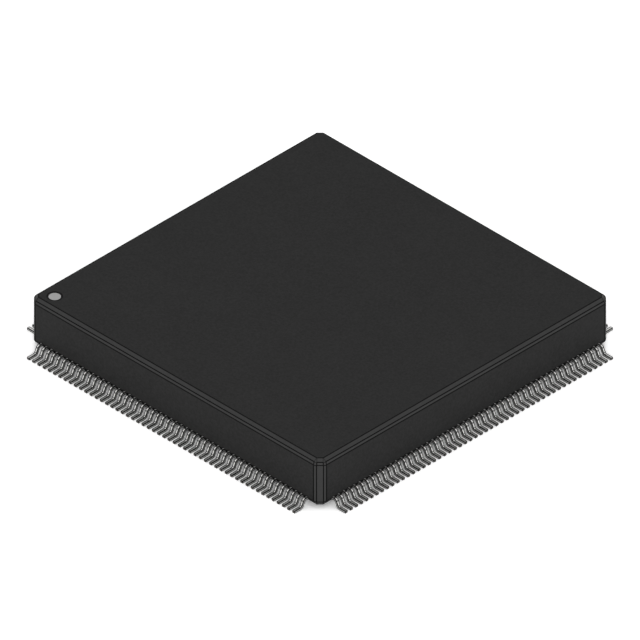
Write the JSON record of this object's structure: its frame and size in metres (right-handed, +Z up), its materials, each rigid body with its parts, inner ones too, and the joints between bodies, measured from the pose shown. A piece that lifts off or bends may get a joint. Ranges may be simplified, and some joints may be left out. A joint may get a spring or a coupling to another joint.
{
  "type": "quad flat pack chip",
  "caption": "Square surface-mount chip package with a black moulded body, chamfered corners and rims, and a fine-pitch row of gull-wing leads on each side.",
  "frame": {"origin": "centre of the package on the seating plane of its feet", "axes": "+Z up out of the top face; the lead rows face -Y (front), +X (right), +Y (back) and -X (left); the pin one mark is in the -X -Y corner of the top"},
  "size_m": [0.0306, 0.0306, 0.0041],
  "materials": {
    "mould_compound": "black filled epoxy, satin from the mould",
    "mark_ink": "light grey printed ink",
    "plated_leads": "matte tin plating on copper alloy",
    "copper_frame": "bare copper alloy sheet",
    "silver_adhesive": "cured silver-filled epoxy",
    "silicon": "polished silicon",
    "gold_wire": "drawn gold wire"
  },
  "bodies": {
    "root": {"moulded_body": "mould_compound", "pin_one_mark": "mark_ink", "front_leads": "plated_leads", "right_leads": "plated_leads", "back_leads": "plated_leads", "left_leads": "plated_leads", "die_pad": "copper_frame", "die_attach": "silver_adhesive", "silicon_die": "silicon", "front_bond_wires": "gold_wire", "right_bond_wires": "gold_wire", "back_bond_wires": "gold_wire", "left_bond_wires": "gold_wire"}
  },
  "joints": []
}
